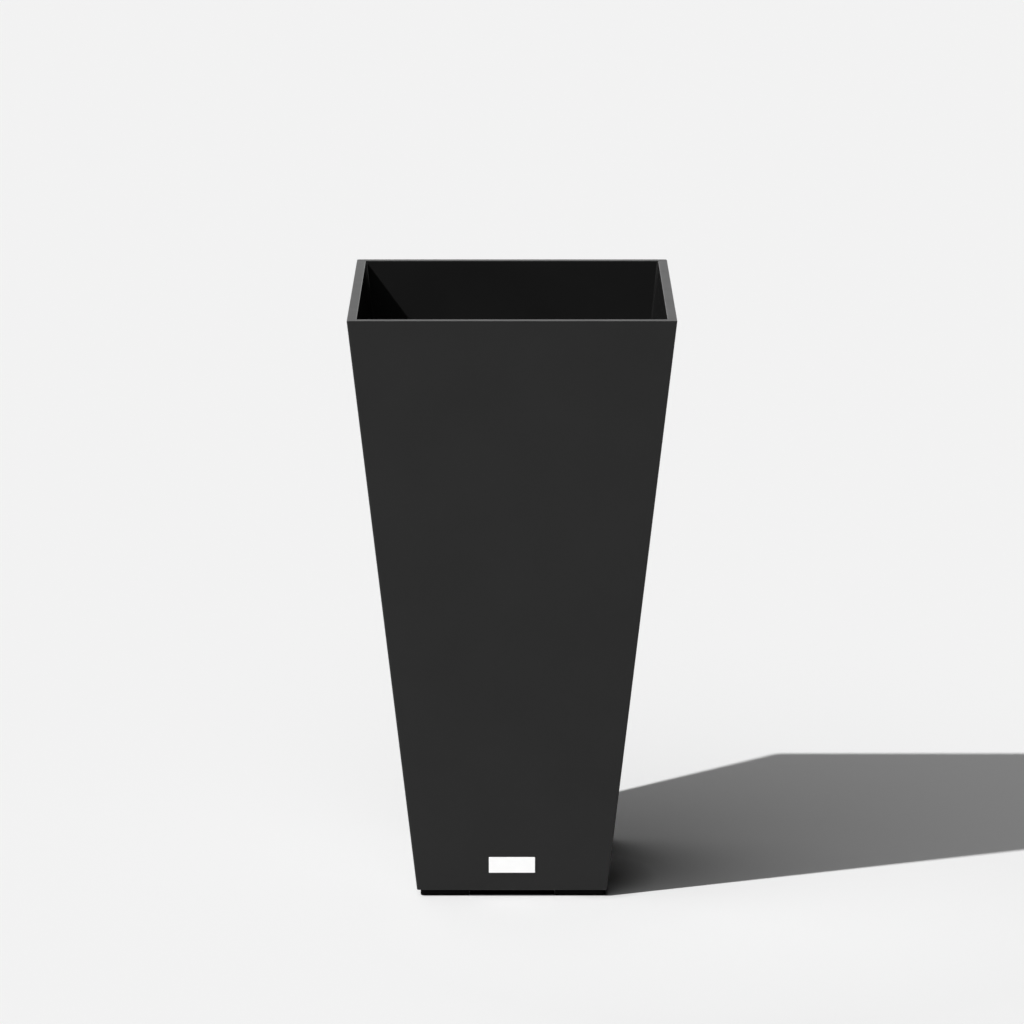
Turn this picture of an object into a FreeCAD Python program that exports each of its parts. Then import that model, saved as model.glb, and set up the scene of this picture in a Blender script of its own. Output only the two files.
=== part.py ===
import FreeCAD, Part
import os
import Sketcher

# A tall square planter that tapers towards its foot, in millimetres.
# The origin lies on the ground under the middle of the planter, +Z is up and the front faces -Y.
# A false floor wedges in the taper, and four bungs close the drain holes in the true floor.

# Driving sizes. Level thickness means measured along the ground and not square to the slanted wall.
SIZES = {
    # Shell
    "top_width": 375,
    "base_width": 225,
    "overall_height": 710,
    "wall": 11,  # level thickness, the same from floor to rim
    "floor_thickness": 12,
    "corner_radius": 2.5,
    "inner_radius": 1.5,  # between the walls, and between the walls and the floor
    "rim_radius": 0.8,
    # Corner feet
    "foot_height": 8,
    "foot_width": 58,
    "foot_inset": 4.25,  # from the lower edge of the shell to the side of a foot
    "foot_corner_radius": 3,
    "foot_edge_bevel": 0.6,
    # Two screws in each foot, on its diagonal
    "screw_edge": 14,  # from the two nearest sides of the foot to the middle of a screw
    "screw_shank": 4,
    "screw_head": 8,
    "screw_head_height": 2.5,
    "screw_head_bevel": 1.2,
    "screw_recess": 0.7,  # from the sole of the foot to the screw head
    "screw_cover": 4,  # floor left whole above a pilot hole
    "screw_tip_room": 1,  # from the tip of a screw to the end of its pilot hole
    "screw_play": 0.1,  # between a shank and its pilot hole, on the radius
    "foot_hole_play": 0.25,  # between a shank and the foot, on the radius
    "washer_diameter": 9.5,
    "washer_thickness": 0.8,
    "washer_play": 0.15,  # between a shank and its washer, on the radius
    "counterbore_play": 0.5,  # between a washer and its counterbore, on the radius
    # Drain holes and their bungs
    "drain_diameter": 20,
    "drain_offset": 55,  # from the middle of the floor
    "plug_play": 0.3,  # between a bung and its hole, on the radius
    "plug_reach": 1.5,  # below the underside of the floor
    "plug_chamfer": 2,
    "flange_diameter": 32,
    "flange_thickness": 3,
    "neck_diameter": 10,
    "neck_height": 5,
    "knob_diameter": 18,
    "knob_height": 6,
    "knob_bevel": 1.5,
    # False floor
    "shelf_drop": 300,  # from the rim to the top of the false floor
    "shelf_depth": 22,
    "shelf_plate": 3.5,
    "shelf_skirt": 3,  # least level thickness of the skirt, at its lower edge
    "shelf_rib": 3,
    "shelf_play": 0.25,  # level gap to the walls
    "shelf_corner_room": 4,  # extra corner radius, so that the corners never wedge
    "shelf_edge_radius": 1,
    "seep_diameter": 10,
    "finger_diameter": 32,
    # Bare plate near the foot of the front, on an adhesive pad
    "label_width": 54.5,
    "label_height": 20,
    "label_rise": 23,  # up the slanted face, from the lower edge of the shell
    "label_thickness": 1,
    "label_corner_radius": 0.5,
    "label_edge_bevel": 0.3,
    "pad_thickness": 0.5,
    "pad_margin": 1,  # from the edge of the plate to the edge of its pad
}

# Counts
CORNERS = 4
DRAINS = 4
SHELF_CELLS = 5  # along each side of the false floor
FINGER_HOLES = 2

# Sizes that follow from the driving ones
WORKED = {
    "shell_height": "Sizes.overall_height - Sizes.foot_height",
    "slope": "(Sizes.top_width - Sizes.base_width) / 2 / shell_height",
    "cavity_width": "Sizes.base_width - 2 * Sizes.wall",
    "cavity_depth": "shell_height - Sizes.floor_thickness",
    "foot_near": "Sizes.base_width / 2 - Sizes.foot_inset - Sizes.foot_width",
    "screw_near": "foot_near + Sizes.screw_edge",
    "screw_far": "foot_near + Sizes.foot_width - Sizes.screw_edge",
    "screw_shoulder": "Sizes.screw_recess + Sizes.screw_head_height",
    "counterbore_depth": "screw_shoulder + Sizes.washer_thickness",
    "counterbore_diameter": "Sizes.washer_diameter + 2 * Sizes.counterbore_play",
    "washer_bore": "Sizes.screw_shank + 2 * Sizes.washer_play",
    "foot_bore": "Sizes.screw_shank + 2 * Sizes.foot_hole_play",
    "pilot_bore": "Sizes.screw_shank + 2 * Sizes.screw_play",
    "pilot_depth": "Sizes.floor_thickness - Sizes.screw_cover",
    "shank_length": "Sizes.foot_height + pilot_depth - Sizes.screw_tip_room - screw_shoulder",
    "plug_base": "Sizes.foot_height - Sizes.plug_reach",
    "plug_radius": "Sizes.drain_diameter / 2 - Sizes.plug_play",
    "plug_tip_radius": "plug_radius - Sizes.plug_chamfer",
    "plug_shoulder": "Sizes.floor_thickness + Sizes.plug_reach",
    "flange_radius": "Sizes.flange_diameter / 2",
    "flange_top": "plug_shoulder + Sizes.flange_thickness",
    "neck_radius": "Sizes.neck_diameter / 2",
    "neck_top": "flange_top + Sizes.neck_height",
    "grip_radius": "Sizes.knob_diameter / 2",
    "plug_top": "neck_top + Sizes.knob_height",
    "shelf_bottom": "Sizes.overall_height - Sizes.shelf_drop - Sizes.shelf_depth",
    "shelf_width": "cavity_width + 2 * slope * (shelf_bottom - Sizes.foot_height) - 2 * Sizes.shelf_play",
    "shelf_corner_radius": "Sizes.inner_radius + Sizes.shelf_corner_room",
    "cell_depth": "Sizes.shelf_depth - Sizes.shelf_plate",
    "cell_field": "shelf_width - 2 * Sizes.shelf_skirt",
    "cell_pitch": "(cell_field + Sizes.shelf_rib) / %d" % SHELF_CELLS,
    "cell_width": "cell_pitch - Sizes.shelf_rib",
    "cell_reach": "cell_pitch * %d" % (SHELF_CELLS - 1),
    "cell_start": "cell_field / 2 - cell_width",
    "cell_middle": "cell_field / 2 - cell_width / 2",
    "pad_width": "Sizes.label_width - 2 * Sizes.pad_margin",
    "pad_height": "Sizes.label_height - 2 * Sizes.pad_margin",
    "pad_rise": "Sizes.label_rise + Sizes.pad_margin",
}

# Feet and bungs by their place, seen from the front
FOOT_TURNS = {"foot_back_right": 0, "foot_back_left": 90, "foot_front_left": 180, "foot_front_right": 270}
PLUG_PLACES = {
    "drain_plug_right": ("x", "Sizes.drain_offset"),
    "drain_plug_back": ("y", "Sizes.drain_offset"),
    "drain_plug_left": ("x", "-Sizes.drain_offset"),
    "drain_plug_front": ("y", "-Sizes.drain_offset"),
}

# Numbers that a sketch gives to its axes and origin, and to the points of a line or circle
UPWARD, ACROSS = range(-2, 0)
START, END, MIDDLE = range(1, 4)
CENTRE = (ACROSS, START)
RECTANGLE_SIDES = 4

NEAR = 0.001  # for comparing heights
FULL_TURN = 360

doc = FreeCAD.newDocument("planter")


def fill_sheet(name, cells):
    """Put each value in a cell of its own, under its alias."""
    sheet = doc.addObject("Spreadsheet::Sheet", name)
    for row, (alias, content) in enumerate(cells.items(), start=1):
        sheet.set("A%d" % row, alias)
        sheet.set("B%d" % row, str(content))
        sheet.setAlias("B%d" % row, alias)
    doc.recompute()


def size(reference):
    """The present value of a reference such as Sizes.wall."""
    sheet, alias = reference.split(".")
    return float(getattr(doc.getObject(sheet), alias))


def new_body(label):
    body = doc.addObject("PartDesign::Body", label)
    body.Label = label
    return body


def origin_feature(body, role):
    return next(feature for feature in body.Origin.OriginFeatures if feature.Role == role)


def new_sketch(body, name, height=None, plane="XY_Plane"):
    """A sketch on an origin plane of its body, or at a height above it."""
    sketch = body.newObject("Sketcher::SketchObject", name)
    sketch.AttachmentSupport = [(origin_feature(body, plane), "")]
    sketch.MapMode = "FlatFace"
    if height:
        sketch.setExpression("AttachmentOffset.Base.z", height)
    return sketch


def drive(sketch, kind, *place):
    """Add a constraint whose last argument refers to the size that drives it."""
    *geometry, reference = place
    index = sketch.addConstraint(Sketcher.Constraint(kind, *geometry, size(reference)))
    sketch.setExpression("Constraints[%d]" % index, reference)


def closed_outline(sketch, corners):
    """Straight lines joined end to end; gives the index of the first."""
    first = sketch.GeometryCount
    count = len(corners)
    for start, end in zip(corners, corners[1:] + corners[:1]):
        sketch.addGeometry(Part.LineSegment(FreeCAD.Vector(*start), FreeCAD.Vector(*end)), False)
    for step in range(count):
        following = first + (step + 1) % count
        sketch.addConstraint(Sketcher.Constraint("Coincident", first + step, END, following, START))
    return first


def rectangle(sketch, width, height, left=None, bottom=None):
    """A rectangle, centred on each axis from which it is given no distance."""
    wide = size(width)
    high = size(height)
    x = size(left) if left else -wide / 2
    y = size(bottom) if bottom else -high / 2
    first = closed_outline(sketch, [(x, y), (x + wide, y), (x + wide, y + high), (x, y + high)])
    base, side, top, other_side = range(first, first + RECTANGLE_SIDES)
    sketch.addConstraint(Sketcher.Constraint("Horizontal", top))
    sketch.addConstraint(Sketcher.Constraint("Vertical", other_side))
    drive(sketch, "DistanceX", top, END, top, START, width)
    drive(sketch, "DistanceY", other_side, END, other_side, START, height)
    if left:
        sketch.addConstraint(Sketcher.Constraint("Horizontal", base))
        drive(sketch, "DistanceX", *CENTRE, base, START, left)
    else:
        sketch.addConstraint(Sketcher.Constraint("Symmetric", base, START, base, END, UPWARD))
    if bottom:
        sketch.addConstraint(Sketcher.Constraint("Vertical", side))
        drive(sketch, "DistanceY", *CENTRE, base, START, bottom)
    else:
        sketch.addConstraint(Sketcher.Constraint("Symmetric", side, START, side, END, ACROSS))


def circle(sketch, diameter, x=None, y=None):
    """A circle whose middle lies on each axis from which it is given no distance."""
    middle = FreeCAD.Vector(size(x) if x else 0, size(y) if y else 0)
    index = sketch.addGeometry(Part.Circle(middle, FreeCAD.Vector(0, 0, 1), size(diameter) / 2), False)
    drive(sketch, "Diameter", index, diameter)
    for direction, distance, axis in (("DistanceX", x, UPWARD), ("DistanceY", y, ACROSS)):
        if distance:
            drive(sketch, direction, *CENTRE, index, MIDDLE, distance)
        else:
            sketch.addConstraint(Sketcher.Constraint("PointOnObject", index, MIDDLE, axis))


def profile(sketch, corners):
    """A closed outline whose corners each have a distance from both axes, or None on an axis."""
    places = [(size(x) if x else 0, size(y) if y else 0) for x, y in corners]
    first = closed_outline(sketch, places)
    for line, (x, y) in enumerate(corners, start=first):
        for direction, distance, axis in (("DistanceX", x, UPWARD), ("DistanceY", y, ACROSS)):
            if distance:
                drive(sketch, direction, *CENTRE, line, START, distance)
            else:
                sketch.addConstraint(Sketcher.Constraint("PointOnObject", line, START, axis))


def screw_circles(sketch, diameter):
    """The two screw places of one foot, on its diagonal."""
    for place in ("Worked.screw_near", "Worked.screw_far"):
        circle(sketch, diameter, place, place)


def add_feature(body, kind, name, **links):
    """A feature on top of the body's present tip."""
    feature = body.newObject("PartDesign::" + kind, name)
    for link, target in links.items():
        setattr(feature, link, target)
    body.Tip = feature
    return feature


def pad(body, sketch, name, length):
    feature = add_feature(body, "Pad", name, Profile=sketch)
    feature.setExpression("Length", length)
    return feature


def pocket(body, sketch, name, depth, upward=False):
    feature = add_feature(body, "Pocket", name, Profile=sketch, Reversed=upward)
    feature.setExpression("Length", depth)
    return feature


def taper(body, name, outside):
    """Lean the upright faces of the body's tip outwards with height, hinged at its lowest level."""
    doc.recompute()
    base = body.Tip
    faces = ["Face%d" % number for number, face in enumerate(base.Shape.Faces, start=1) if is_upright(face)]
    hinge = (origin_feature(body, "XY_Plane"), [""])
    feature = add_feature(body, "Draft", name, Base=(base, faces), NeutralPlane=hinge, Reversed=outside)
    feature.setExpression("Angle", "atan(Worked.slope)")
    return feature


def around(body, name, features, count):
    """Repeat features at equal steps about the upright axis."""
    axis = (origin_feature(body, "Z_Axis"), [""])
    pattern = add_feature(body, "PolarPattern", name, Originals=features, Axis=axis)
    pattern.Angle = FULL_TURN
    pattern.Occurrences = count
    return pattern


def over_cells(body, name, features):
    """Repeat features from one corner cell of the false floor to all of them."""
    pattern = add_feature(body, "LinearPattern", name, Originals=features)
    pattern.Direction = (origin_feature(body, "X_Axis"), [""])
    pattern.Direction2 = (origin_feature(body, "Y_Axis"), [""])
    pattern.Reversed = True
    pattern.Reversed2 = True
    pattern.Occurrences = SHELF_CELLS
    pattern.Occurrences2 = SHELF_CELLS
    pattern.setExpression("Length", "Worked.cell_reach")
    pattern.setExpression("Length2", "Worked.cell_reach")
    return pattern


def edge_feature(body, kind, name, wanted):
    """A feature on those edges of the body's present tip that are wanted."""
    doc.recompute()
    base = body.Tip
    edges = ["Edge%d" % number for number, edge in enumerate(base.Shape.Edges, start=1) if wanted(edge)]
    return add_feature(body, kind, name, Base=(base, edges))


def fillet(body, name, radius, wanted):
    """Round the wanted edges."""
    edge_feature(body, "Fillet", name, wanted).setExpression("Radius", radius)


def bevel(body, name, width, wanted):
    """Cut the wanted edges off at an even slant."""
    edge_feature(body, "Chamfer", name, wanted).setExpression("Size", width)


def is_upright(face):
    return abs(face.normalAt(0, 0).z) < NEAR


def level_at(*heights):
    """Picks edges that lie at one of the heights, given in the body's own frame."""
    def wanted(edge):
        box = edge.BoundBox
        return any(abs(box.ZMin - z) < NEAR and abs(box.ZMax - z) < NEAR for z in heights)
    return wanted


def touching(height):
    """Picks edges whose lowest point is at a height."""
    def wanted(edge):
        return abs(edge.BoundBox.ZMin - height) < NEAR
    return wanted


def rising_from(height):
    """Picks edges that start at a height and climb."""
    def wanted(edge):
        box = edge.BoundBox
        return abs(box.ZMin - height) < NEAR and box.ZMax - box.ZMin > NEAR
    return wanted


def make_shell():
    """Tapered square bucket with an even wall, drain holes and blind screw holes under its floor."""
    body = new_body("planter_shell")
    outline = new_sketch(body, "shell_outline")
    rectangle(outline, "Sizes.base_width", "Sizes.base_width")
    pad(body, outline, "shell_block", "Worked.shell_height")
    taper(body, "outer_taper", outside=True)
    fillet(body, "outer_corners", "Sizes.corner_radius", rising_from(0))

    mouth = new_sketch(body, "cavity_outline", "Worked.shell_height")
    rectangle(mouth, "Worked.cavity_width", "Worked.cavity_width")
    pocket(body, mouth, "cavity", "Worked.cavity_depth")
    taper(body, "inner_taper", outside=False)
    fillet(body, "inner_edges", "Sizes.inner_radius", touching(size("Sizes.floor_thickness")))
    fillet(body, "rim_edges", "Sizes.rim_radius", level_at(0, size("Worked.shell_height")))

    drains = new_sketch(body, "drain_place", "Sizes.floor_thickness")
    circle(drains, "Sizes.drain_diameter", x="Sizes.drain_offset")
    drain = pocket(body, drains, "drain_hole", "Sizes.floor_thickness")
    around(body, "drain_holes", [drain], DRAINS)

    pilots = new_sketch(body, "pilot_places")
    screw_circles(pilots, "Worked.pilot_bore")
    pilot = pocket(body, pilots, "pilot_pair", "Worked.pilot_depth", upward=True)
    around(body, "pilot_holes", [pilot], CORNERS)
    body.setExpression("Placement.Base.z", "Sizes.foot_height")


def make_shelf():
    """False floor: a plate on a grid of ribs, with a skirt that follows the taper of the walls."""
    body = new_body("insert_shelf")
    outline = new_sketch(body, "skirt_outline")
    rectangle(outline, "Worked.shelf_width", "Worked.shelf_width")
    pad(body, outline, "shelf_block", "Sizes.shelf_depth")
    taper(body, "skirt_taper", outside=True)
    fillet(body, "skirt_corners", "Worked.shelf_corner_radius", rising_from(0))
    fillet(body, "shelf_edge", "Sizes.shelf_edge_radius", level_at(size("Sizes.shelf_depth")))

    cells = new_sketch(body, "cell_place")
    rectangle(cells, "Worked.cell_width", "Worked.cell_width", "Worked.cell_start", "Worked.cell_start")
    cell = pocket(body, cells, "cell", "Worked.cell_depth", upward=True)
    over_cells(body, "rib_grid", [cell])

    seeps = new_sketch(body, "seep_place", "Sizes.shelf_depth")
    circle(seeps, "Sizes.seep_diameter", "Worked.cell_middle", "Worked.cell_middle")
    seep = pocket(body, seeps, "seep_hole", "Sizes.shelf_plate")
    over_cells(body, "seep_holes", [seep])

    fingers = new_sketch(body, "finger_place", "Sizes.shelf_depth")
    circle(fingers, "Sizes.finger_diameter", x="Worked.cell_middle")
    finger = pocket(body, fingers, "finger_hole", "Sizes.shelf_plate")
    around(body, "finger_holes", [finger], FINGER_HOLES)
    body.setExpression("Placement.Base.z", "Worked.shelf_bottom")


def make_foot(label, turn):
    """Square rubber foot under one corner, with two counterbored screw holes."""
    body = new_body(label)
    outline = new_sketch(body, label + "_outline")
    rectangle(outline, "Sizes.foot_width", "Sizes.foot_width", "Worked.foot_near", "Worked.foot_near")
    pad(body, outline, label + "_block", "Sizes.foot_height")
    fillet(body, label + "_corners", "Sizes.foot_corner_radius", rising_from(0))
    bevel(body, label + "_edge", "Sizes.foot_edge_bevel", level_at(0))

    recesses = new_sketch(body, label + "_recesses")
    screw_circles(recesses, "Worked.counterbore_diameter")
    pocket(body, recesses, label + "_counterbores", "Worked.counterbore_depth", upward=True)
    holes = new_sketch(body, label + "_holes")
    screw_circles(holes, "Worked.foot_bore")
    pocket(body, holes, label + "_bores", "Sizes.foot_height", upward=True)
    body.Placement = FreeCAD.Placement(FreeCAD.Vector(), FreeCAD.Rotation(FreeCAD.Vector(0, 0, 1), turn))


def make_screws():
    """Pan-head screws that hold the feet, two at each corner."""
    body = new_body("foot_screws")
    heads = new_sketch(body, "head_places", "Sizes.screw_recess")
    screw_circles(heads, "Sizes.screw_head")
    head = pad(body, heads, "head_pair", "Sizes.screw_head_height")
    shanks = new_sketch(body, "shank_places", "Worked.screw_shoulder")
    screw_circles(shanks, "Sizes.screw_shank")
    shank = pad(body, shanks, "shank_pair", "Worked.shank_length")
    around(body, "screws", [head, shank], CORNERS)
    bevel(body, "head_bevels", "Sizes.screw_head_bevel", level_at(size("Sizes.screw_recess")))


def make_washers():
    """A steel washer between each screw head and its foot."""
    body = new_body("foot_washers")
    rings = new_sketch(body, "ring_places", "Worked.screw_shoulder")
    screw_circles(rings, "Sizes.washer_diameter")
    screw_circles(rings, "Worked.washer_bore")
    ring = pad(body, rings, "ring_pair", "Sizes.washer_thickness")
    around(body, "washers", [ring], CORNERS)


def make_plug(label, direction, distance):
    """Turned rubber bung: stem, flange that seats on the floor, neck and pull knob."""
    body = new_body(label)
    outline = new_sketch(body, label + "_outline", plane="XZ_Plane")
    profile(outline, [
        (None, None),
        ("Worked.plug_tip_radius", None),
        ("Worked.plug_radius", "Sizes.plug_chamfer"),
        ("Worked.plug_radius", "Worked.plug_shoulder"),
        ("Worked.flange_radius", "Worked.plug_shoulder"),
        ("Worked.flange_radius", "Worked.flange_top"),
        ("Worked.neck_radius", "Worked.flange_top"),
        ("Worked.neck_radius", "Worked.neck_top"),
        ("Worked.grip_radius", "Worked.neck_top"),
        ("Worked.grip_radius", "Worked.plug_top"),
        (None, "Worked.plug_top"),
    ])
    axis = (outline, ["V_Axis"])
    add_feature(body, "Revolution", label + "_turning", Profile=outline, ReferenceAxis=axis, Angle=FULL_TURN)
    bevel(body, label + "_knob_edge", "Sizes.knob_bevel", level_at(size("Worked.plug_top")))
    body.setExpression("Placement.Base." + direction, distance)
    body.setExpression("Placement.Base.z", "Worked.plug_base")


def make_front_plate(label, width, height, rise, start, thickness, corner, edge):
    """A rectangle that lies on the slanted front, seen with +Y of its own frame up the face."""
    body = new_body(label)
    outline = new_sketch(body, label + "_outline", start)
    rectangle(outline, width, height, bottom=rise)
    pad(body, outline, label + "_sheet", thickness)
    fillet(body, label + "_corners", corner, rising_from(size(start) if start else 0))
    if edge:
        bevel(body, label + "_edge", edge, level_at(size(start) + size(thickness)))
    body.Placement = FreeCAD.Placement(FreeCAD.Vector(), FreeCAD.Rotation(FreeCAD.Vector(1, 0, 0), 90))
    body.setExpression("Placement.Base.y", "-Sizes.base_width / 2")
    body.setExpression("Placement.Base.z", "Sizes.foot_height")
    body.setExpression("Placement.Rotation.Angle", "90 deg + atan(Worked.slope)")


def make_label():
    """The bare plate and the adhesive pad behind it."""
    make_front_plate(
        "label_adhesive", "Worked.pad_width", "Worked.pad_height", "Worked.pad_rise",
        None, "Sizes.pad_thickness", "Sizes.label_corner_radius", None,
    )
    make_front_plate(
        "label_plate", "Sizes.label_width", "Sizes.label_height", "Sizes.label_rise",
        "Sizes.pad_thickness", "Sizes.label_thickness", "Sizes.label_corner_radius",
        "Sizes.label_edge_bevel",
    )


def check_document():
    """Stop before anything is written if a feature failed or a piece isn't sound."""
    for feature in doc.Objects:
        if "Invalid" in feature.State or "Error" in feature.State:
            raise RuntimeError("%s failed: %s" % (feature.Name, feature.State))
    for body in doc.findObjects("PartDesign::Body"):
        if body.Shape.isNull() or not body.Shape.isValid():
            raise RuntimeError("%s has no sound shape" % body.Label)


fill_sheet("Sizes", SIZES)
fill_sheet("Worked", {alias: "=" + formula for alias, formula in WORKED.items()})
make_shell()
make_shelf()
for foot_label, foot_turn in FOOT_TURNS.items():
    make_foot(foot_label, foot_turn)
make_screws()
make_washers()
for plug_label, (plug_direction, plug_distance) in PLUG_PLACES.items():
    make_plug(plug_label, plug_direction, plug_distance)
make_label()
doc.recompute()
check_document()

os.makedirs("parts", exist_ok=True)
for piece in doc.findObjects("PartDesign::Body"):
    piece.Shape.exportStep("parts/%s.step" % piece.Label)
    print(piece.Label, len(piece.Shape.Solids), "solids", round(piece.Shape.Volume), "mm3")
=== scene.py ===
import math

import bmesh
import bpy
from mathutils import Matrix, Vector


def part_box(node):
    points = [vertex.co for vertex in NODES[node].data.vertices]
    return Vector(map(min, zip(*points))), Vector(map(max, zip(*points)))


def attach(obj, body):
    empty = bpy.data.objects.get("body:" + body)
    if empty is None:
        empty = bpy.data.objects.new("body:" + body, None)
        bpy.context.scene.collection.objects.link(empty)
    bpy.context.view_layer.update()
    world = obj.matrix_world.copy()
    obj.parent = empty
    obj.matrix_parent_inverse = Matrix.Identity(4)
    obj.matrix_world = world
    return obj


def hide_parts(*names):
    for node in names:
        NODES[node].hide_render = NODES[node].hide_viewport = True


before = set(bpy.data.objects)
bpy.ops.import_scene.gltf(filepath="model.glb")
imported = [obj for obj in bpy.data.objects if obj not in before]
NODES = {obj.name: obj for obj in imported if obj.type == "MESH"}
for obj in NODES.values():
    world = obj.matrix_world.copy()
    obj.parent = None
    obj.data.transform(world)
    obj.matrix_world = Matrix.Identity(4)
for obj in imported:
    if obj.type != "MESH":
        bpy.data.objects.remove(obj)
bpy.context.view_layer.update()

# A tall black planter on a pale floor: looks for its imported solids, in metres.
# The front faces -Y, and the floor is the plane z = 0.

MM = 0.001
UP = (0, 0, 1)
FRONT = (0, -1, 0)

# Camera
CAMERA_PLACE = (0, -5.3854, 1.7707)
CAMERA_DIP = math.radians(13.867)  # below level
LENS_MM = 164.57
SENSOR_MM = 36

# Light: a sun from the front left, a soft glow from the upper left and a faint lamp low in front
TO_SUN = Vector((-0.5709, -0.3062, 0.7618))
SUN_STRENGTH = 3.095
SUN_ANGLE = math.radians(0.9)
PALE = 0.887  # tone of the floor, and of the surroundings where they are seen or mirrored
OVERHEAD = 0.15  # tone of what is mirrored from above
MIRROR_FADE = (0.31, 0.54)  # heights of the direction looked in, between pale and overhead
IN_FRONT = 0.02  # tone of what is mirrored from the dark end of the room, level and in front
IN_FRONT_FADE = (0.975, 0.99)  # reaches of the direction looked in, towards there
GLOW_STRENGTH = 0.74
DIM_STRENGTH = 0.01  # of the surroundings on matt surfaces, away from the glow
GLOW_SIDE = (-0.96, -0.28, 0)
GLOW_SIDE_FADE = (-0.2, 0.15)  # reaches of the direction looked in, towards that side
GLOW_HEIGHT_FADE = (0.5, 0.7)
LAMP_PLACE = Vector((-1.2, -1.6, 0.02))
LAMP_AIM = Vector((0, 0, 0.3))
LAMP_SIZE = (0.7, 0.03)
LAMP_POWER = 13
FLOOR_REACH = 40
FLOOR_DROP = 0.1 * MM  # below the soles of the feet
PAINTED_SHADE_UNDER_REACH = (0.104, 0.109)  # half widths between which the painted shade under the planter fades out
PAINTED_SHADE_UNDER = 0.02  # tone of that painted shade
UNDER_GLOW = 0.9  # strength of the light from that patch on the underside of the planter
FLOOR_SHIFT = 6 * MM  # to the right, so that the painted shade under the planter reaches past the feet in the shade
PAINTED_LIGHT = 0.973  # tone of a soft patch of painted light in the sun, where the planter takes some of the glow off the floor
PAINTED_LIGHT_PLACE = (0.244, -0.178)  # from the middle of the floor
PAINTED_LIGHT_REACH = (0.42, 0.375)
PAINTED_SHADE_BESIDE = 0.266  # tone of a soft patch of painted shade at the foot of the shaded side
PAINTED_SHADE_BESIDE_PLACE = (0.099, -0.041)  # from the middle of the floor
PAINTED_SHADE_BESIDE_REACH = (0.07, 0.086)

# Shell
OUTER_TONE = (0.0106, 0.0124)
# lighter inside tone: painted light on the shaded inner walls
INNER_TONE_WITH_PAINTED_LIGHT = (0.0152, 0.0178)
OUTER_ROUGHNESS = (0.318, 0.342)
INNER_ROUGHNESS = (0.1, 0.12)
INNER_DEPTH = (10 * MM, 10.6 * MM)  # level depths into the wall, between the rim and the inside

# Screws that hold the feet
SHANK_RADIUS = 2 * MM
ROOT_RADIUS = 1.45 * MM
THREAD_PITCH = 1.4 * MM
THREAD_STEPS = 6  # rings in one turn of the thread
PLAIN_SHANK = 1.2 * MM  # under the head
TIP_LENGTH = 2 * MM
TIP_SHARE = 0.35  # radius at the tip over radius of the shank
HEAD_CROWN = 1.3 * MM  # height of the domed part of the head
CROWN_ROUNDNESS = 0.6  # power that makes the dome flatter in its middle than a ball
CROWN_STEPS = 6
RECESS_DEPTH = 1.5 * MM
RECESS_WIDTH = 1.1 * MM  # of one slot of the cross
RECESS_SPAN = 4.4 * MM
RECESS_TAPER = 0.45  # size at the bottom of the cross over size at its mouth
RECESS_FLARE = 1.5  # the same for the end of its cutter outside the head
SCREW_SIDES = 32
SCREW_TURN = 37  # degrees from one screw to the next
SHARP_ANGLE = math.radians(35)


def add_node(tree, kind, **settings):
    """A shader node with some of its properties set."""
    node = tree.nodes.new("ShaderNode" + kind)
    for name, value in settings.items():
        setattr(node, name, value)
    return node


def feed(tree, socket, value):
    """Give a socket a plain number, or what comes out of another node."""
    if isinstance(value, bpy.types.NodeSocket):
        tree.links.new(value, socket)
    else:
        socket.default_value = value


def math_node(tree, operation, first, second):
    """The outcome of a sum on two values."""
    node = add_node(tree, "Math", operation=operation)
    for socket, value in zip(node.inputs, (first, second)):
        feed(tree, socket, value)
    return node.outputs["Value"]


def between(tree, share, first, second):
    """A value from the first to the second as the share goes from 0 to 1."""
    node = add_node(tree, "Mix")
    tree.links.new(share, node.inputs["Factor"])
    for socket, value in ((node.inputs["A"], first), (node.inputs["B"], second)):
        feed(tree, socket, value)
    return node.outputs["Result"]


def new_material(name, **shader_values):
    """A material and its shader; shader_values are socket names with _ for a space."""
    material = bpy.data.materials.new(name)
    material.use_nodes = True
    shader = material.node_tree.nodes["Principled BSDF"]
    for socket, value in shader_values.items():
        shader.inputs[socket.replace("_", " ")].default_value = value
    return material, material.node_tree, shader


def own_coordinates(tree):
    """Places on the piece in metres, which move with it."""
    return add_node(tree, "TexCoord").outputs["Object"]


def noise(tree, grain, detail=2):
    """Soft random values; grain is the size of a patch in metres."""
    node = add_node(tree, "TexNoise")
    node.inputs["Scale"].default_value = 1 / grain
    node.inputs["Detail"].default_value = detail
    tree.links.new(own_coordinates(tree), node.inputs["Vector"])
    return node.outputs["Fac"]


def cells(tree, grain):
    """Distance from the middle of random cells; grain is the size of a cell in metres."""
    node = add_node(tree, "TexVoronoi")
    node.inputs["Scale"].default_value = 1 / grain
    tree.links.new(own_coordinates(tree), node.inputs["Vector"])
    return node.outputs["Distance"]


def spread(tree, value, low, high, source=(0.3, 0.7)):
    """Stretch a value from its source range over the range from low to high."""
    node = add_node(tree, "MapRange")
    node.inputs["From Min"].default_value, node.inputs["From Max"].default_value = source
    node.inputs["To Min"].default_value = low
    node.inputs["To Max"].default_value = high
    tree.links.new(value, node.inputs["Value"])
    return node.outputs["Result"]


def tint(tree, value, dark, light):
    """A colour between two others, by a value from 0 to 1."""
    node = add_node(tree, "Mix", data_type="RGBA")
    node.inputs["A"].default_value = (*dark, 1)
    node.inputs["B"].default_value = (*light, 1)
    tree.links.new(value, node.inputs["Factor"])
    return node.outputs["Result"]


def bump(tree, height, depth):
    """A relief of a depth in metres."""
    node = add_node(tree, "Bump")
    node.inputs["Strength"].default_value = 1
    node.inputs["Distance"].default_value = depth
    tree.links.new(height, node.inputs["Height"])
    return node.outputs["Normal"]


def grey(level):
    return (level, level, level)


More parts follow.
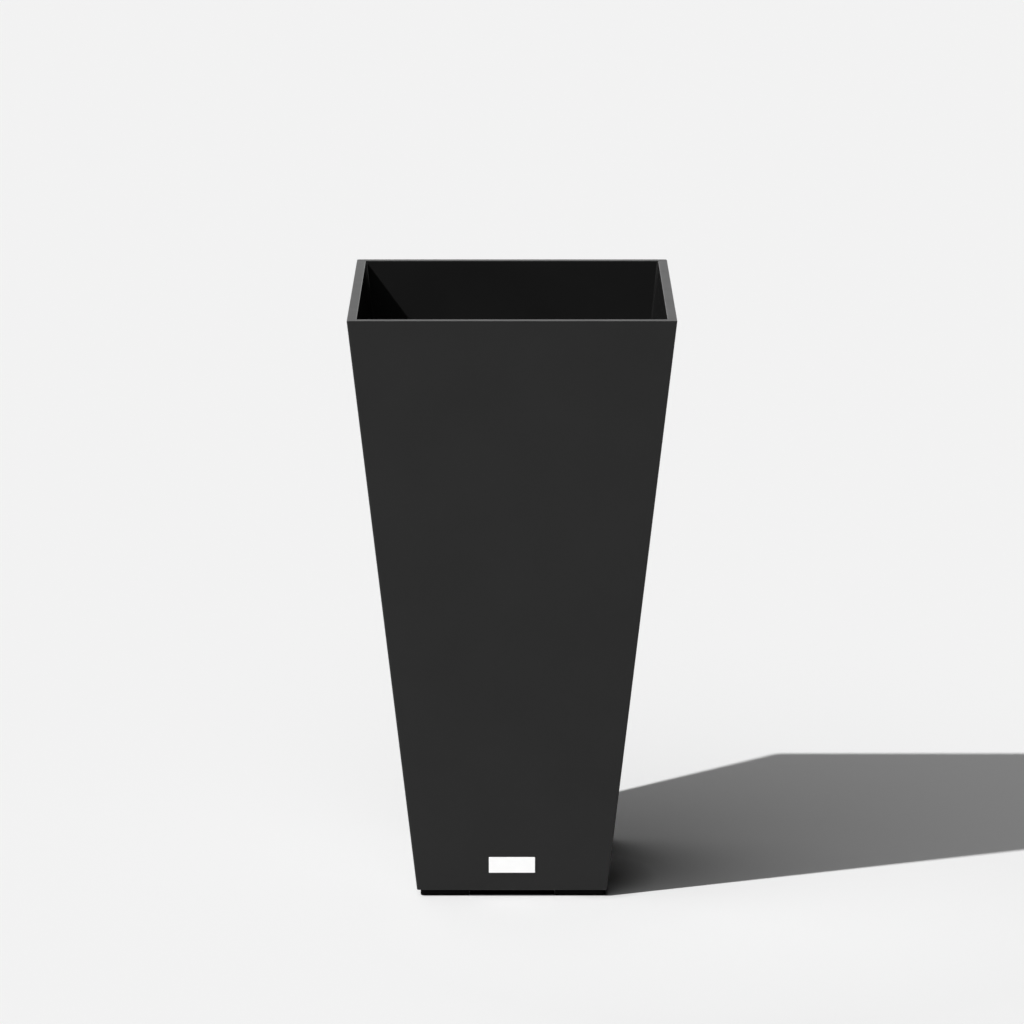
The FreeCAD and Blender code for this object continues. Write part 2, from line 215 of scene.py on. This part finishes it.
def from_axis(tree):
    """Level distance from the upright axis, square on plan, and the height."""
    place = add_node(tree, "SeparateXYZ")
    tree.links.new(own_coordinates(tree), place.inputs["Vector"])
    across, along = (math_node(tree, "ABSOLUTE", place.outputs[axis], 0) for axis in "XY")
    return math_node(tree, "MAXIMUM", across, along), place.outputs["Z"]


def inner_share(tree):
    """From 0 on the outside and the rim of the shell to 1 on its inside."""
    low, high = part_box("planter_shell")
    points = [vertex.co for vertex in NODES["planter_shell"].data.vertices]
    base = max(point.x for point in points if point.z < low.z + MM)
    distance, height = from_axis(tree)
    outside = spread(tree, height, base, high.x, (low.z, high.z))
    return spread(tree, math_node(tree, "SUBTRACT", outside, distance), 0, 1, INNER_DEPTH)


def by_side(tree, pattern, outer, inner):
    """A random value spread over one range on the outside of the shell, another on its inside."""
    outside, inside = (spread(tree, pattern, *limits) for limits in (outer, inner))
    return between(tree, inner_share(tree), outside, inside)


def matt_black_shell():
    """Moulded composite: near black with faint clouds and a fine grain, smoother inside, and lighter
    inside with painted light on the shaded inner walls.
    """
    material, tree, shader = new_material("shell_plastic", Specular_IOR_Level=0.2)
    # The lighter inside tone is painted light, lifting the shaded inner walls
    tone = by_side(tree, noise(tree, 90 * MM, detail=4), OUTER_TONE, INNER_TONE_WITH_PAINTED_LIGHT)
    tree.links.new(tint(tree, tone, grey(0), grey(1)), shader.inputs["Base Color"])
    roughness = by_side(tree, noise(tree, 25 * MM, detail=3), OUTER_ROUGHNESS, INNER_ROUGHNESS)
    tree.links.new(roughness, shader.inputs["Roughness"])
    grain = bump(tree, noise(tree, 0.9 * MM, detail=3), 0.012 * MM)
    tree.links.new(grain, shader.inputs["Normal"])
    return material


def moulded_shelf():
    """Injection-moulded plastic with a spark-eroded texture, a little greyer than the shell."""
    material, tree, shader = new_material("shelf_plastic", Specular_IOR_Level=0.3)
    clouds = spread(tree, noise(tree, 40 * MM, detail=3), 0, 1)
    tree.links.new(tint(tree, clouds, grey(0.019), grey(0.023)), shader.inputs["Base Color"])
    sheen = spread(tree, noise(tree, 12 * MM), 0.5, 0.6)
    tree.links.new(sheen, shader.inputs["Roughness"])
    grain = bump(tree, noise(tree, 0.6 * MM, detail=2), 0.02 * MM)
    tree.links.new(grain, shader.inputs["Normal"])
    return material


def black_rubber(name, dark, light, roughness, specular):
    """Dull rubber with a bloom of lighter patches and a fine orange-peel skin."""
    material, tree, shader = new_material(name, Specular_IOR_Level=specular)
    bloom = spread(tree, noise(tree, 8 * MM, detail=5), 0, 1)
    tree.links.new(tint(tree, bloom, grey(dark), grey(light)), shader.inputs["Base Color"])
    dullness = spread(tree, noise(tree, 5 * MM), roughness - 0.06, roughness + 0.06)
    tree.links.new(dullness, shader.inputs["Roughness"])
    skin = bump(tree, noise(tree, 0.5 * MM, detail=2), 0.015 * MM)
    tree.links.new(skin, shader.inputs["Normal"])
    return material


def plated_steel(name, dark, light, roughness):
    """Bright plated steel with fine turning marks and duller patches."""
    material, tree, shader = new_material(name, Metallic=1.0)
    patches = spread(tree, noise(tree, 2 * MM, detail=4), 0, 1)
    tree.links.new(tint(tree, patches, dark, light), shader.inputs["Base Color"])
    dullness = spread(tree, noise(tree, 1.5 * MM, detail=3), roughness - 0.08, roughness + 0.08)
    tree.links.new(dullness, shader.inputs["Roughness"])
    marks = bump(tree, noise(tree, 0.15 * MM, detail=1), 0.003 * MM)
    tree.links.new(marks, shader.inputs["Normal"])
    return material


def white_enamel():
    """White baked paint on the bare plate, smooth with a slight orange peel."""
    material, tree, shader = new_material("label_enamel", Specular_IOR_Level=0.5, Coat_Weight=0.2)
    clouds = spread(tree, noise(tree, 12 * MM, detail=3), 0, 1)
    white = tint(tree, clouds, (0.93, 0.93, 0.925), (0.955, 0.955, 0.95))
    tree.links.new(white, shader.inputs["Base Color"])
    sheen = spread(tree, noise(tree, 6 * MM), 0.28, 0.36)
    tree.links.new(sheen, shader.inputs["Roughness"])
    peel = bump(tree, noise(tree, 1.6 * MM, detail=1), 0.006 * MM)
    tree.links.new(peel, shader.inputs["Normal"])
    return material


def foam_pad():
    """Grey foam of the adhesive pad, with open cells."""
    material, tree, shader = new_material("adhesive_pad", Specular_IOR_Level=0.2, Roughness=0.9)
    patches = spread(tree, noise(tree, 1.2 * MM, detail=3), 0, 1)
    tree.links.new(tint(tree, patches, grey(0.28), grey(0.36)), shader.inputs["Base Color"])
    foam = bump(tree, cells(tree, 0.4 * MM), 0.1 * MM)
    tree.links.new(foam, shader.inputs["Normal"])
    return material


def soft_patch(tree, middle, reach):
    """From 1 at a place on the floor to 0 at a distance from it, given across and along."""
    mapping = add_node(tree, "Mapping", vector_type="TEXTURE")
    mapping.inputs["Location"].default_value = (*middle, 0)
    mapping.inputs["Scale"].default_value = (*reach, 1)
    tree.links.new(own_coordinates(tree), mapping.inputs["Vector"])
    patch = add_node(tree, "TexGradient", gradient_type="SPHERICAL")
    tree.links.new(mapping.outputs["Vector"], patch.inputs["Vector"])
    return patch.outputs["Fac"]


def pale_floor():
    """Pale ground, with painted shade where the planter keeps all light off it and beside its shaded
    side, a soft patch of painted light in the sun near it, and open to a look from below.
    """
    material, tree, shader = new_material("pale_floor", Roughness=1.0, Specular_IOR_Level=0.0)
    distance, _ = from_axis(tree)
    # Painted shade under the planter, fading out just inside its edges
    outside_painted_shade = spread(tree, distance, 0, 1, PAINTED_SHADE_UNDER_REACH)
    # Painted light in a soft patch in the sun near the planter
    ground = between(tree, soft_patch(tree, PAINTED_LIGHT_PLACE, PAINTED_LIGHT_REACH), PALE, PAINTED_LIGHT)
    # Painted shade in a soft patch at the foot of the shaded side
    ground = between(tree, soft_patch(tree, PAINTED_SHADE_BESIDE_PLACE, PAINTED_SHADE_BESIDE_REACH), ground, PAINTED_SHADE_BESIDE)
    tree.links.new(between(tree, outside_painted_shade, PAINTED_SHADE_UNDER, ground), shader.inputs["Base Color"])
    unseen = between(tree, add_node(tree, "LightPath").outputs["Is Camera Ray"], UNDER_GLOW, 0)
    glow = math_node(tree, "MULTIPLY", unseen, math_node(tree, "SUBTRACT", 1, outside_painted_shade))
    tree.links.new(glow, shader.inputs["Emission Strength"])
    material.cycles.emission_sampling = "NONE"
    one_sided = add_node(tree, "MixShader")
    from_below = add_node(tree, "NewGeometry").outputs["Backfacing"]
    clear = add_node(tree, "BsdfTransparent")
    sources = (from_below, shader.outputs["BSDF"], clear.outputs["BSDF"])
    for socket, source in zip(one_sided.inputs, sources):
        tree.links.new(source, socket)
    tree.links.new(one_sided.outputs["Shader"], tree.nodes["Material Output"].inputs["Surface"])
    return material


def paint(materials):
    """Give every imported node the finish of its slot."""
    for node in NODES.values():
        for slot in node.material_slots:
            slot.material = materials[slot.material.name]


def new_object(name, mesh_data):
    mesh = bpy.data.meshes.new(name)
    mesh_data.to_mesh(mesh)
    mesh_data.free()
    piece = bpy.data.objects.new(name, mesh)
    bpy.context.scene.collection.objects.link(piece)
    return piece


def add_rings(mesh_data, rings):
    """Skin over rings of equally many points, closed at both ends."""
    loops = [[mesh_data.verts.new(point) for point in ring] for ring in rings]
    for lower, upper in zip(loops, loops[1:]):
        count = len(lower)
        for side in range(count):
            following = (side + 1) % count
            mesh_data.faces.new((lower[side], lower[following], upper[following], upper[side]))
    mesh_data.faces.new(loops[0][::-1])
    mesh_data.faces.new(loops[-1])


def round_ring(radius, height):
    """Points of a level circle; radius is a length or a function of the angle."""
    points = []
    for side in range(SCREW_SIDES):
        angle = 2 * math.pi * side / SCREW_SIDES
        reach = radius(angle) if callable(radius) else radius
        points.append((reach * math.cos(angle), reach * math.sin(angle), height))
    return points


def head_rings(head_radius, bottom, shoulder):
    """Pan head that hangs crown down, from the middle of its crown to the shank."""
    rings = []
    for step in range(1, CROWN_STEPS + 1):
        turn = math.pi / 2 * step / CROWN_STEPS
        radius = head_radius * math.sin(turn) ** CROWN_ROUNDNESS
        rings.append(round_ring(radius, bottom + HEAD_CROWN * (1 - math.cos(turn))))
    rings.append(round_ring(head_radius, shoulder))
    rings.append(round_ring(SHANK_RADIUS, shoulder))
    return rings


def thread_rings(start, tip):
    """Threaded shank that narrows to a blunt tip."""
    step_height = THREAD_PITCH / THREAD_STEPS
    steps = int((tip - start) / step_height)
    rings = [round_ring(SHANK_RADIUS, start - step_height / 2)]
    for step in range(steps + 1):
        height = start + (tip - start) * step / steps
        taper = min(1, TIP_SHARE + (1 - TIP_SHARE) * (tip - height) / TIP_LENGTH)

        def radius(angle, height=height, taper=taper):
            turn = ((height - start) / THREAD_PITCH - angle / (2 * math.pi)) % 1
            crest = 1 - abs(2 * turn - 1)
            return taper * (ROOT_RADIUS + (SHANK_RADIUS - ROOT_RADIUS) * crest)

        rings.append(round_ring(radius, height))
    return rings


def cross_cutter(bottom):
    """Tapered cross that cuts the driver recess into a head from below."""
    mesh_data = bmesh.new()
    for along, across in ((RECESS_SPAN, RECESS_WIDTH), (RECESS_WIDTH, RECESS_SPAN)):
        rings = []
        ends = ((bottom - RECESS_DEPTH, RECESS_FLARE), (bottom + RECESS_DEPTH, RECESS_TAPER))
        for height, scale in ends:
            x = along / 2 * scale
            y = across / 2 * scale
            rings.append([(x, y, height), (-x, y, height), (-x, -y, height), (x, -y, height)])
        add_rings(mesh_data, rings)
    return new_object("cross_cutter", mesh_data)


def one_screw(head_radius, bottom, shoulder, tip):
    """Mesh of a screw on the upright axis."""
    mesh_data = bmesh.new()
    rings = head_rings(head_radius, bottom, shoulder) + thread_rings(shoulder + PLAIN_SHANK, tip)
    add_rings(mesh_data, rings)
    bmesh.ops.recalc_face_normals(mesh_data, faces=mesh_data.faces)
    blank = new_object("screw_blank", mesh_data)
    cutter = cross_cutter(bottom)
    cut = blank.modifiers.new("recess", "BOOLEAN")
    cut.operation = "DIFFERENCE"
    cut.solver = "EXACT"
    cut.use_self = True
    cut.object = cutter
    bpy.context.view_layer.update()
    mesh = bpy.data.meshes.new_from_object(blank.evaluated_get(bpy.context.evaluated_depsgraph_get()))
    for spare in (blank, cutter):
        bpy.data.objects.remove(spare)
    return mesh


def screw_places():
    """Middle of each screw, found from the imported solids: two on the diagonal of every foot."""
    places = []
    points = [vertex.co for vertex in NODES["foot_screws"].data.vertices]
    for foot in (name for name in NODES if name.startswith("foot_") and name.count("_") == 2):
        low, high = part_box(foot)
        middle = (low + high) / 2
        inside = [p for p in points if low.x < p.x < high.x and low.y < p.y < high.y]
        for near in (True, False):
            group = [p for p in inside if (abs(p.x) < abs(middle.x)) == near]
            xs = [p.x for p in group]
            ys = [p.y for p in group]
            places.append(((min(xs) + max(xs)) / 2, (min(ys) + max(ys)) / 2))
    return places


def make_screws(material):
    """All the foot screws as one piece, each turned a little differently."""
    low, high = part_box("foot_screws")
    places = screw_places()
    head_radius = high.x - max(x for x, _ in places)
    mesh = one_screw(head_radius, low.z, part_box("foot_washers")[0].z, high.z)
    mesh_data = bmesh.new()
    for number, (x, y) in enumerate(places):
        screw = mesh.copy()
        turn = Matrix.Rotation(math.radians(SCREW_TURN * number), 4, "Z")
        screw.transform(Matrix.Translation((x, y, 0)) @ turn)
        mesh_data.from_mesh(screw)
    piece = new_object("foot_screw_set", mesh_data)
    piece.data.materials.append(material)
    piece.data.shade_smooth()
    piece.data.set_sharp_from_angle(angle=SHARP_ANGLE)
    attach(piece, "planter")
    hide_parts("foot_screws")


def make_floor():
    mesh_data = bmesh.new()
    bmesh.ops.create_grid(mesh_data, size=FLOOR_REACH)
    floor = new_object("floor", mesh_data)
    floor.location = (FLOOR_SHIFT, 0, -FLOOR_DROP)
    floor.data.materials.append(pale_floor())


def fade(tree, towards, edges):
    """From 0 to 1 as the direction that is looked in turns towards a given one."""
    direction = add_node(tree, "TexCoord").outputs["Generated"]
    reach = add_node(tree, "VectorMath", operation="DOT_PRODUCT")
    tree.links.new(direction, reach.inputs[0])
    reach.inputs[1].default_value = towards
    node = add_node(tree, "MapRange", interpolation_type="SMOOTHSTEP")
    node.inputs["From Min"].default_value, node.inputs["From Max"].default_value = edges
    tree.links.new(reach.outputs["Value"], node.inputs["Value"])
    return node.outputs["Result"]


def make_surroundings():
    """Pale background, darker overhead and in front in reflections, with a glow for matt surfaces."""
    world = bpy.data.worlds.new("surroundings")
    bpy.context.scene.world = world
    world.use_nodes = True
    tree = world.node_tree
    left = fade(tree, GLOW_SIDE, GLOW_SIDE_FADE)
    high = fade(tree, UP, GLOW_HEIGHT_FADE)
    lighting = between(tree, math_node(tree, "MULTIPLY", left, high), DIM_STRENGTH, GLOW_STRENGTH)
    mirror_image = between(tree, fade(tree, UP, MIRROR_FADE), PALE, OVERHEAD)
    mirror_image = between(tree, fade(tree, FRONT, IN_FRONT_FADE), mirror_image, IN_FRONT)
    rays = add_node(tree, "LightPath").outputs
    bounced = math_node(tree, "MAXIMUM", rays["Is Glossy Ray"], rays["Is Transmission Ray"])
    direct = math_node(tree, "LESS_THAN", rays["Diffuse Depth"], 1)
    mirrored = math_node(tree, "MULTIPLY", bounced, direct)
    strength = between(tree, mirrored, lighting, mirror_image)
    strength = between(tree, rays["Is Camera Ray"], strength, PALE)
    background = tree.nodes["Background"]
    background.inputs["Color"].default_value = (1, 1, 1, 1)
    tree.links.new(strength, background.inputs["Strength"])


def make_sun():
    lamp = bpy.data.lights.new("sun", "SUN")
    lamp.energy = SUN_STRENGTH
    lamp.angle = SUN_ANGLE
    sun = bpy.data.objects.new("sun", lamp)
    sun.rotation_euler = TO_SUN.to_track_quat("Z", "Y").to_euler()
    bpy.context.scene.collection.objects.link(sun)


def make_low_lamp():
    """Wide strip near the ground that lifts the front without lighting the floor."""
    lamp = bpy.data.lights.new("low_lamp", "AREA")
    lamp.shape = "RECTANGLE"
    lamp.size, lamp.size_y = LAMP_SIZE
    lamp.energy = LAMP_POWER
    strip = bpy.data.objects.new("low_lamp", lamp)
    strip.location = LAMP_PLACE
    strip.rotation_euler = (LAMP_PLACE - LAMP_AIM).to_track_quat("Z", "Y").to_euler()
    strip.visible_camera = False
    strip.visible_glossy = False
    lit = bpy.data.collections.new("lit_by_low_lamp")
    for node in NODES.values():
        lit.objects.link(node)
    strip.light_linking.receiver_collection = lit
    bpy.context.scene.collection.objects.link(strip)


def make_camera():
    lens = bpy.data.cameras.new("camera")
    lens.lens = LENS_MM
    lens.sensor_width = SENSOR_MM
    camera = bpy.data.objects.new("camera", lens)
    camera.location = CAMERA_PLACE
    camera.rotation_euler = (math.pi / 2 - CAMERA_DIP, 0, 0)
    bpy.context.scene.collection.objects.link(camera)
    bpy.context.scene.camera = camera


MATERIALS = {
    "shell_plastic": matt_black_shell(),
    "shelf_plastic": moulded_shelf(),
    # The foot rubber is darker than real rubber: painted shade on the feet, which stand in the shade of
    # the shell
    "foot_rubber": black_rubber("foot_rubber", 0.0022, 0.004, 0.8, 0.03),
    "plug_rubber": black_rubber("plug_rubber", 0.012, 0.018, 0.6, 0.3),
    "screw_steel": plated_steel("screw_steel", (0.52, 0.53, 0.54), (0.62, 0.62, 0.61), 0.34),
    "washer_steel": plated_steel("washer_steel", (0.55, 0.55, 0.55), (0.64, 0.63, 0.62), 0.28),
    "label_enamel": white_enamel(),
    "adhesive_pad": foam_pad(),
}

paint(MATERIALS)
make_screws(MATERIALS["screw_steel"])
make_floor()
make_surroundings()
make_sun()
make_low_lamp()
make_camera()
bpy.context.scene.view_settings.view_transform = "Standard"
